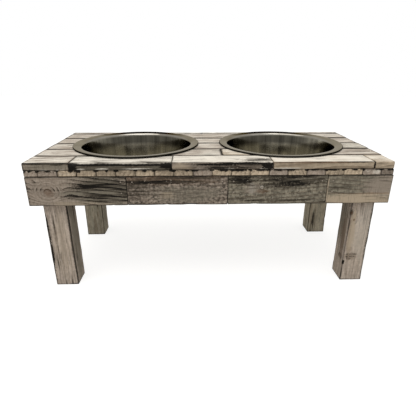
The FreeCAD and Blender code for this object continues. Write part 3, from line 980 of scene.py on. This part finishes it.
# The cross slats' tones and how light they are, from the table's ends inwards, and the wash on some ends
CROSS_TONES = {
    "left": ("taupe", "taupe", "tan", "tan", "tan", "tan", "tan", "tan", "tan", "taupe"),
    "right": ("taupe", "taupe", "tan", "tan", "taupe", "tan", "taupe", "tan", "tan", "tan"),
}
CROSS_LIGHT = {
    "left": (1.2, 1.05, 1.15, 1.0, 0.9, 1.0, 1.1, 0.97, 0.9, 1.15),
    "right": (0.85, 1.35, 1.3, 1.02, 1.25, 1.12, 1.22, 1.3, 1.17, 1.22),
}
CROSS_WASH = {"03_left": 0.25, "02_right": 0.5, "03_right": 0.2, "08_right": 0.2}
APRON_BOARDS = {
    "front_1": {
        "look": {
            "tone": "taupe", "slant": 0.12, "ringed": 0.6, "light": 1.15, "streaky": 1.7,
            "knots": [((-266.5, FRONT, 185), 12.0)], "knot_tint": 0.3,
        },
        "marks": [
            ("grey", (-175, FRONT, 185), (55, 8, 30), 0.85),
            ("charcoal", (-172, FRONT, 188), (60, 8, 30), 0.36),
            ("charcoal", (-176, FRONT, 194), (52, 6, 9), 0.22),
            ("charcoal", (-203, FRONT, 193), (22, 5, 3), 0.4),
            ("charcoal", (-228, FRONT, 176), (16, 5, 3), 0.45),
            ("charcoal", (-299, FRONT, 185), (2.5, 4, 32), 0.35),
            ("brown", (-264, FRONT, 184), (6, 5, 7), 0.3),
            ("tan", (-205, FRONT, 164), (45, 5, 4), 0.4),
        ],
    },
    "front_2": {
        "wear": {"wane": [("front_bottom", -46, -24, 2.6)]},
        "look": {
            "tone": "taupe", "saw": 0.55, "char": 0.28, "light": 0.86, "streaky": 1.35, "ringed": 0.1,
            "speckle": 0.75, "flecks": 0.6,
        },
        "marks": [
            ("brown", (-70, FRONT, 204), (85, 5, 9), 0.65),
            ("charcoal", (-122, FRONT, 190), (22, 5, 22), 0.3),
            ("charcoal", (-72, FRONT, 200), (64, 5, 3.5), 0.7),
            ("charcoal", (-40, FRONT, 207), (60, 5, 2.5), 0.4),
            ("grey", (-45, FRONT, 180), (60, 5, 14), 0.6),
            ("tan", (-75, FRONT, 178), (14, 5, 7), 0.5),
            ("charcoal", (-34, FRONT, 161.5), (11, 5, 2), 1.0),
            ("wash", (2, FRONT, 161), (22, 3, 1.4), 0.5),
        ],
    },
    "front_3": {
        "look": {
            "tone": "grey", "saw": 0.5, "char": 0.1, "streaky": 1.5, "light": 1.13, "speckle": 0.5,
            "flecks": 0.3, "knots": [((82, FRONT, 190), 2.6)],
        },
        "marks": [
            ("charcoal", (48, FRONT, 203), (30, 6, 11), 0.66),
            ("charcoal", (132, FRONT, 203), (58, 6, 11), 0.6),
            ("charcoal", (118, FRONT, 192), (40, 5, 6), 0.4),
            ("charcoal", (112, FRONT, 167), (70, 5, 2.4), 0.6),
            ("taupe", (66, FRONT, 190), (14, 5, 12), 0.5),
            ("wash", (66, FRONT, 190), (5, 4, 11), 0.2),
            ("wash", (82, FRONT, 190), (2.6, 4, 2.6), 0.9),
            ("brown", (84, FRONT, 183), (8, 5, 4), 0.5),
            ("wash", (75, FRONT, 161), (45, 3, 1.3), 0.7),
        ],
    },
    "front_4": {
        "look": {"tone": "grey", "light": 1.1, "speckle": 0.35},
        "marks": [
            ("taupe", (290, FRONT, 190), (34, 6, 30), 0.85),
            ("charcoal", (218, FRONT, 189), (26, 5, 2.5), 0.4),
            ("charcoal", (232, FRONT, 203), (24, 5, 3), 0.3),
            ("tan", (245, FRONT, 167), (90, 6, 11), 0.95),
            ("brown", (245, FRONT, 178), (65, 4, 1.0), 0.6),
            ("tan", (192, FRONT, 185), (1.6, 4, 26), 0.9),
        ],
    },
}
LEGS = {
    # The back legs' light factors lift their colour against the shade they stand in under the table: painted
    # light
    "back_left": {"look": {"tone": "grey", "light": 1.98}},
    "back_right": {
        "look": {"tone": "grey", "light": 2.5},
        "marks": [
            ("tan", (248, 86, 100), (4, 4, 110), 0.5),
        ],
    },
    "front_left": {
        "look": {"light": 1.33},
        "marks": [
            ("charcoal", (-244, -124, 90), (3, 3, 110), 0.6),
            ("charcoal", (-284, -124, 85), (4.5, 4.5, 75), 0.85),
            ("charcoal", (-276, -124.5, 95), (8, 4, 70), 0.22),
            ("tan", (-262, -124.5, 85), (14, 4, 70), 0.3),
            ("grey", (-244, -104, 90), (4, 18, 120), 0.7),
        ],
    },
    "front_right": {
        "look": {
            "light": 1.3, "streaky": 1.2, "grainy": 1.3,
            "knots": [((245, -124, 137), 5.0), ((252, -124.5, 124), 3.4)],
        },
        "marks": [
            ("charcoal", (245, -123.5, 138), (4, 4, 7), 0.5),
            ("brown", (247, -124.5, 110), (3.5, 4, 40), 0.5),
            ("charcoal", (244, -124, 38), (3.5, 3.5, 5), 1.0),
            ("brown", (257, -124.5, 51), (11, 4, 9), 0.45),
            ("brown", (254, -124.5, 66), (5, 4, 6), 0.4),
            ("charcoal", (258, -124.5, 55), (12, 4, 2.4), 0.45),
            ("charcoal", (256, -124.5, 50), (9, 4, 2.2), 0.45),
            ("charcoal", (254, -124.5, 45.5), (5, 4, 2), 0.4),
            ("wash", (270, -124.5, 105), (17, 4, 55), 0.3),
            ("charcoal", (244, -110, 46), (3, 9, 6), 0.5),
            ("grey", (244, -100, 110), (4, 20, 60), 0.6),
            ("brown", (244, -108, 85), (4, 10, 45), 0.55),
            ("tan", (252, -124.5, 105), (6, 4, 45), 0.8),
            ("tan", (266, -124.5, 70), (18, 4, 60), 0.2),
            ("charcoal", (284, -124, 90), (3.5, 3.5, 100), 0.7),
        ],
    },
}
# Heights in mm of the dark dashes on the cross slats' ends and at their upper corners: painted shade in the
# gap under the top slats
DASH_LEVEL = 219.8
CORNER_LEVEL = 219.6
# Half the length in mm of such a dash, least and most
DASH_HALF = {"left": (2, 6), "right": (5, 15)}
# The clearance in mm that the CAD leaves between the cross slats
SLAT_CLEARANCE = 0.7
# How far at most a top slat may lie lower than the others, in mm
MOST_SUNK = 0.5
# Tones and marks of the boards that aren't seen from the front: each mark's kind and how strong it is, and
# half its size in mm along the grain and across it, least and most
UNSEEN_TONES = ("taupe", "grey", "taupe", "tan")
UNSEEN_MARKS = (("grey", 0.7), ("brown", 0.5), ("charcoal", 0.75), ("charcoal", 0.5), ("tan", 0.5))
UNSEEN_ALONG = (22, 60)
UNSEEN_ACROSS = (4, 11)


def board_nodes(word):
    """The CAD nodes whose names hold a word, in order."""
    return sorted(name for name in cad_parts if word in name)


def grain_of(node):
    """The axis that a board of the apron or a rail runs along."""
    return 0 if node.startswith(("front", "back")) else 1


def planned(plan, wear, look):
    """A board's wear and look: those usual for its kind, and what its own plan gives instead."""
    return {**wear, **plan.get("wear", {})}, {**look, **plan.get("look", {}), "marks": plan.get("marks", ())}


class FEEDER_OT_top_slats(Operator):
    """Lay the rows of whitewashed slats, with the bowls' holes cut in them"""

    bl_idname = "feeder.top_slats"
    bl_label = "Top slats"

    def execute(self, context):
        for node in board_nodes("top_slat_"):
            front_row = node[-2] == "1"
            sunk = MOST_SUNK * (seed_of(node) % 100) / 100
            wear = {"sunk": sunk, "front_top": 2.4, "back_top": 1.5, "clean_ends": 2.4}
            look = {"wash": 0.45, "dirt": 0.9, "grime": -0.08 if front_row else 0.28}
            wear, look = planned(TOP_SLATS.get(node[-2:], {}), wear, look)
            make_board(f"worn_{node}", node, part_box(node), 0, "top_wood", wear, look, context.scene)
        return {"FINISHED"}


class FEEDER_OT_cross_slats(Operator):
    """Lay the cross slats under the top, two to each CAD node"""

    bl_idname = "feeder.cross_slats"
    bl_label = "Cross slats"

    def execute(self, context):
        for place, node in enumerate(board_nodes("cross_slat_")):
            points = np.array([v.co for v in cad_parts[node].data.vertices])
            for way, side in ((-1, "left"), (1, "right")):
                slat = points[points[:, 0] * way > 0]
                label = f"{node[-2:]}_{side}"
                rng = np.random.default_rng(seed_of(label))
                wear = {
                    "round": 1.2,
                    "left_top": rng.uniform(1.2, 2.2),
                    "right_top": rng.uniform(1.2, 2.2),
                    "relief": 0.05,
                    "uneven": 0.0,
                    "end_round": rng.uniform(0.9, 2.0),
                    "end_relief": 0.8,
                    "stretch": 2.5,
                    "step": 2.4,
                    "chips": 0.4,
                    "dirt_reach": 1.5,
                    "trim": 1.2 if label == "01_right" else 0.0,
                }
                low, high = slat.min(0), slat.max(0)
                dash = rng.uniform(low[0], high[0]) / MM
                look = {
                    "tone": CROSS_TONES[side][place],
                    "light": CROSS_LIGHT[side][place],
                    "saw": 0.5,
                    "char": rng.uniform(-0.05, 0.15),
                    "side_wash": CROSS_WASH.get(label, 0.05),
                    "dirt": 0.8,
                    "grime": -0.04,
                }
                # Painted shade: a dark dash and dark corner ticks at the top of the end, where the gap under
                # the top slats lies in shade
                dash_half = (rng.uniform(*DASH_HALF[side]), 4, 2.6)
                look["marks"] = [("charcoal", (dash, FRONT, DASH_LEVEL), dash_half, 1.0)]
                for corner in (low[0] / MM, high[0] / MM):
                    half = (4.0, 4, rng.uniform(1.4, 3))
                    look["marks"].append(("charcoal", (corner, FRONT, CORNER_LEVEL), half, 0.9))
                # The slats lie tight against each other: each takes up half of the CAD's clearance
                tight = np.array([SLAT_CLEARANCE / 2 * MM, 0, 0])
                span = np.maximum(low - tight, CAD_BOX[0]), np.minimum(high + tight, CAD_BOX[1])
                make_board(f"worn_{node}_{side}", node, span, 1, "cross_wood", wear, look, context.scene)
        return {"FINISHED"}


def chance_marks(low, high, grain, seed):
    """Marks at chance places on a board that isn't seen from the front, in mm."""
    rng = np.random.default_rng(seed)
    marks = []
    for kind, strength in UNSEEN_MARKS:
        half = [None, None, rng.uniform(*UNSEEN_ACROSS)]
        half[grain] = rng.uniform(*UNSEEN_ALONG)
        marks.append((kind, tuple(rng.uniform(low, high)), half, strength))
    return marks


class FEEDER_OT_apron_boards(Operator):
    """Set the apron's boards round the table"""

    bl_idname = "feeder.apron_boards"
    bl_label = "Apron boards"

    def execute(self, context):
        for node in board_nodes("_apron_board_"):
            span, seed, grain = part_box(node), seed_of(node), grain_of(node)
            tone, speckle = UNSEEN_TONES[seed % len(UNSEEN_TONES)], 0.2 + 0.4 * (seed % 97) / 97
            unseen = {
                "look": {"tone": tone, "streaky": 1.4, "speckle": speckle},
                "marks": chance_marks(span[0] / MM, span[1] / MM, grain, seed),
            }
            wear = {"round": 1.1, "chips": 1.0, "end_round": 0.6, "clean_ends": 3.0}
            plan = APRON_BOARDS.get(node.replace("_apron_board", ""), unseen)
            wear, look = planned(plan, wear, {"saw": 0.5})
            make_board(f"worn_{node}", node, span, grain, "apron_wood", wear, look, context.scene)
        return {"FINISHED"}


class FEEDER_OT_legs(Operator):
    """Stand the four square legs"""

    bl_idname = "feeder.legs"
    bl_label = "Legs"

    def execute(self, context):
        for node in board_nodes("_leg"):
            look = {"tone": "leg", "streaky": 2.0, "grainy": 2.0, "dirt": 0.85, "slant": 0.02}
            wear, look = planned(LEGS[node.replace("_leg", "")], {"round": 1.6, "chips": 0.8}, look)
            make_board(f"worn_{node}", node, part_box(node), 2, "leg_wood", wear, look, context.scene)
        return {"FINISHED"}


class FEEDER_OT_rails(Operator):
    """Fix the rails between the legs, behind the apron"""

    bl_idname = "feeder.rails"
    bl_label = "Rails"

    def execute(self, context):
        for node in board_nodes("_rail"):
            grain = grain_of(node)
            wear = {"round": 0.8, "step": 3.5, "stretch": 2.5, "chips": 0.3}
            look = {"tone": "tan", "char": -0.1, "dirt": 0.3, "saw": 0.3}
            make_board(f"worn_{node}", node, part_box(node), grain, "rail_wood", wear, look, context.scene)
        return {"FINISHED"}


def bowl_profile(bowl, rim, low):
    """Points round a bowl's section, from its axis inside to its axis outside, in mm from the table's top."""
    lip_r, floor_r = bowl.lip_radius / MM, bowl.floor_round / MM
    width, height = bowl.rim_width / MM, bowl.rim_height / MM
    sheet, hem, draft = bowl.sheet / MM, bowl.hem_width / MM, bowl.draft
    fall = bowl.rim_fall / MM
    lip = np.array([rim - width, height - fall - lip_r])
    lean = np.array([-math.cos(draft), math.sin(draft)])
    down = np.array([-math.sin(draft), -math.cos(draft)])
    floor_z = low + sheet + floor_r
    wall = (lip[1] + (lip_r + floor_r) * lean[1] - floor_z) / math.cos(draft)
    floor = lip + (lip_r + floor_r) * lean + wall * down
    fold = np.array([rim - height / 2, height / 2])

    def arc(middle, radius, start, end, steps):
        turns = np.linspace(start, end, steps)
        return [middle + radius * np.array([math.cos(t), math.sin(t)]) for t in turns]

    half = math.pi / 2
    tilted = half + math.atan2(fall, width - height / 2)
    hem_end = rim - hem
    inside = [np.array([floor[0] * share, low + sheet]) for share in (0.0, 0.35, 0.7)]
    inside += arc(floor, floor_r, -half, -draft, FLOOR_STEPS)
    wall_top, wall_foot = lip + lip_r * lean, floor - floor_r * lean
    inside += [wall_foot + (wall_top - wall_foot) * share for share in (0.25, 0.5, 0.75)]
    inside += arc(lip, lip_r, math.pi - draft, tilted, LIP_STEPS)
    edge = arc(fold, height / 2, tilted, -half, LIP_STEPS)
    inside += [inside[-1] + (edge[0] - inside[-1]) * share for share in (0.33, 0.66)]
    edge += [np.array([hem_end, 0.0]), np.array([hem_end, sheet])]
    edge += arc(fold, height / 2 - sheet, -half, tilted, FOLD_STEPS)
    outside = arc(lip, lip_r - sheet, tilted, math.pi - draft, LIP_STEPS)
    outside += arc(floor, floor_r + sheet, -draft, -half, FLOOR_STEPS)
    outside += [np.array([floor[0] * share, low]) for share in (0.7, 0.35, 0.0)]
    return inside + edge + outside


class FEEDER_OT_bowls(Operator):
    """Spin the two pressed steel bowls"""

    bl_idname = "feeder.bowls"
    bl_label = "Bowls"

    def execute(self, context):
        bowl = context.scene.feeder_bowl
        turns = np.arange(bowl.segments) * 2 * math.pi / bowl.segments
        table_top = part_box("top_slat_1c")[1].z
        for node, (x, y, rim, low, _) in bowl_places().items():
            points, faces, last = [], [], None
            for radius, z in bowl_profile(bowl, rim / MM, (low - table_top) / MM):
                if radius < AXIS_RADIUS:
                    ring = [len(points)] * bowl.segments
                    points.append((x, y, table_top + z * MM))
                else:
                    ring = list(range(len(points), len(points) + bowl.segments))
                    r = radius * MM
                    points += [(x + r * math.cos(t), y + r * math.sin(t), table_top + z * MM) for t in turns]
                if last:
                    for i in range(bowl.segments):
                        j = (i + 1) % bowl.segments
                        corners = [last[i], ring[i], ring[j], last[j]]
                        faces.append(list(dict.fromkeys(corners)))
                last = ring
            spun = new_object(f"polished_{node}", points, faces)
            dress(spun, BOWL_CREASE, polished_steel(node, (x, y), rim, table_top + bowl.rim_height, bowl))
            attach(spun, node)
            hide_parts(node)
        return {"FINISHED"}


class FEEDER_OT_fasteners(Operator):
    """Give the brads and screws of the CAD frame their finish"""

    bl_idname = "feeder.fasteners"
    bl_label = "Fasteners"

    def execute(self, context):
        wood = context.scene.feeder_wood
        colours = {
            "top_brads": wood.wash,
            "apron_brads": wood.taupe,
            "cross_brads": wood.tan,
            "leg_screws": wood.grey,
        }
        for node, colour in colours.items():
            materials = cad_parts[node].data.materials
            materials.clear()
            materials.append(painted_steel(node, colour))
        return {"FINISHED"}


class FEEDER_OT_stage(Operator):
    """Set up the pale floor, the soft light and the camera"""

    bl_idname = "feeder.stage"
    bl_label = "Stage"

    def execute(self, context):
        scene, stage = context.scene, context.scene.feeder_stage
        scene.view_settings.view_transform = "Standard"

        world = bpy.data.worlds.new("plain white studio")
        world.use_nodes = True
        tree = world.node_tree
        tree.nodes.clear()
        shown = self.shown_white(tree)
        lit = add(tree, "ShaderNodeBackground", {"Color": WHITE, "Strength": stage.fill})
        seen = add(tree, "ShaderNodeBackground", {"Color": WHITE, "Strength": 1.0})
        both = add(tree, "ShaderNodeMixShader", {0: shown, 1: lit, 2: seen})
        add(tree, "ShaderNodeOutputWorld", {"Surface": both})
        scene.world = world

        half = stage.floor_size / 2
        corners = [(-half, -half, 0), (half, -half, 0), (half, half, 0), (-half, half, 0)]
        floor = new_object("floor", corners, [(0, 1, 2, 3)])
        floor.data.materials.append(self.floor_material(stage))

        lamp = bpy.data.lights.new("soft box", "AREA")
        lamp.energy, lamp.size = stage.lamp_power, stage.lamp_size
        box = bpy.data.objects.new("soft_box", lamp)
        box.location = stage.lamp_place
        box.rotation_euler = (stage.lamp_aim - stage.lamp_place).to_track_quat("-Z", "Y").to_euler()
        scene.collection.objects.link(box)

        yaw, pitch, roll = stage.camera_turn
        ahead = Vector((math.sin(yaw) * math.cos(pitch), math.cos(yaw) * math.cos(pitch), -math.sin(pitch)))
        level = Vector((math.cos(yaw), -math.sin(yaw), 0))
        upright = level.cross(ahead)
        right = math.cos(roll) * level + math.sin(roll) * upright
        up = math.cos(roll) * upright - math.sin(roll) * level
        turned = Matrix((right, up, -ahead)).transposed().to_4x4()
        lens = bpy.data.cameras.new("camera")
        lens.lens, lens.sensor_width = stage.lens, SENSOR_WIDTH
        camera = bpy.data.objects.new("camera", lens)
        camera.matrix_world = Matrix.Translation(stage.camera_place) @ turned
        scene.collection.objects.link(camera)
        scene.camera = camera
        return {"FINISHED"}

    def shown_white(self, tree):
        """1 for rays that show the background: to the camera, off metal and through glass."""
        rays = add(tree, "ShaderNodeLightPath").outputs
        shown = add(tree, MATH, {0: rays["Is Camera Ray"], 1: rays["Is Glossy Ray"]}, operation="ADD")
        shown = {0: shown, 1: rays["Is Transmission Ray"]}
        return add(tree, MATH, shown, operation="ADD", use_clamp=True)

    def floor_material(self, stage):
        """Matt paper sweep: white to the camera with the object's soft shadow on it, and clear from below."""
        material, tree = new_material("matt paper sweep")
        paper = add(tree, "ShaderNodeBsdfDiffuse", {"Color": rgba(stage.floor)})
        glow = add(tree, "ShaderNodeEmission", {"Color": WHITE, "Strength": stage.floor_glow})
        shown = add(tree, "ShaderNodeAddShader", {0: paper, 1: glow})
        seen = add(tree, "ShaderNodeMixShader", {0: self.shown_white(tree), 1: paper, 2: shown})
        under = add(tree, "ShaderNodeNewGeometry").outputs["Backfacing"]
        clear = add(tree, "ShaderNodeBsdfTransparent")
        both = add(tree, "ShaderNodeMixShader", {0: under, 1: seen, 2: clear})
        add(tree, "ShaderNodeOutputMaterial", {"Surface": both})
        return material


STEPS = (
    FEEDER_OT_top_slats,
    FEEDER_OT_cross_slats,
    FEEDER_OT_apron_boards,
    FEEDER_OT_legs,
    FEEDER_OT_rails,
    FEEDER_OT_bowls,
    FEEDER_OT_fasteners,
    FEEDER_OT_stage,
)


class FEEDER_PT_panel(Panel):
    """The feeder's steps and settings in the sidebar"""

    bl_label = "Elevated dog feeder"
    bl_idname = "FEEDER_PT_panel"
    bl_space_type = "VIEW_3D"
    bl_region_type = "UI"
    bl_category = "Feeder"

    def draw(self, context):
        layout = self.layout
        for step in STEPS:
            layout.operator(step.bl_idname)
        for settings in (context.scene.feeder_wood, context.scene.feeder_bowl, context.scene.feeder_stage):
            box = layout.box()
            for name in settings.bl_rna.properties.keys():
                if name not in ("rna_type", "name"):
                    box.prop(settings, name)


GROUPS = {"feeder_wood": FeederWood, "feeder_bowl": FeederBowl, "feeder_stage": FeederStage}


def register():
    """Registers the settings, the steps and the panel."""
    for name, group in GROUPS.items():
        bpy.utils.register_class(group)
        setattr(bpy.types.Scene, name, PointerProperty(type=group))
    for step in (*STEPS, FEEDER_PT_panel):
        bpy.utils.register_class(step)


def unregister():
    """Takes away what register added."""
    for step in reversed((*STEPS, FEEDER_PT_panel)):
        bpy.utils.unregister_class(step)
    for name, group in GROUPS.items():
        delattr(bpy.types.Scene, name)
        bpy.utils.unregister_class(group)


def main():
    """Builds the feeder and its stage."""
    register()
    bpy.ops.feeder.top_slats()
    bpy.ops.feeder.cross_slats()
    bpy.ops.feeder.apron_boards()
    bpy.ops.feeder.legs()
    bpy.ops.feeder.rails()
    bpy.ops.feeder.bowls()
    bpy.ops.feeder.fasteners()
    bpy.ops.feeder.stage()


if __name__ == "__main__":
    main()
